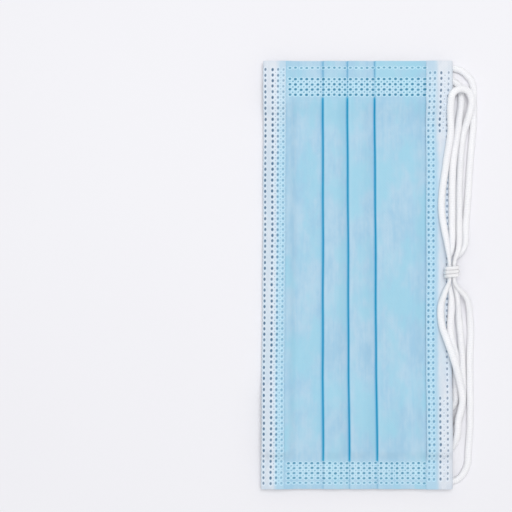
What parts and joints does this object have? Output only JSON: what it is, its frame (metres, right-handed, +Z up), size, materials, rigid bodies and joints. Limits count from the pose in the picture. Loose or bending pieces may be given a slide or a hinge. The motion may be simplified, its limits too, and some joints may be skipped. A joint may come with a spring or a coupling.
{
  "type": "surgical face mask",
  "caption": "Pleated surgical face mask folded flat, with bound long edges, a nose wire in the upper one and elastic ear loops gathered in a tie beside it.",
  "frame": {"origin": "bottom centre of the folded mask, without its loops, on the surface that it lies on", "axes": "+X towards the nose edge with the wire, +Y along the length of the mask, +Z up, out of the blue face"},
  "size_m": [0.0886, 0.175, 0.0101],
  "materials": {
    "blue_spunbond": "pale blue spunbond nonwoven, matt, with point bonds and welded dots",
    "white_spunbond": "white spunbond nonwoven, matt, with welded dots",
    "white_elastic": "white knitted elastic, soft and matt",
    "coated_wire": "white plastic coating, satin"
  },
  "bodies": {
    "root": {"pleated_panel": "blue_spunbond", "nose_band": "white_spunbond", "chin_band": "white_spunbond", "nose_wire": "coated_wire", "ear_loop_upper": "white_elastic", "ear_loop_lower": "white_elastic", "loop_tie": "white_elastic", "loop_weld_upper_nose": "white_elastic", "loop_weld_upper_chin": "white_elastic", "loop_weld_lower_nose": "white_elastic", "loop_weld_lower_chin": "white_elastic"}
  },
  "joints": []
}
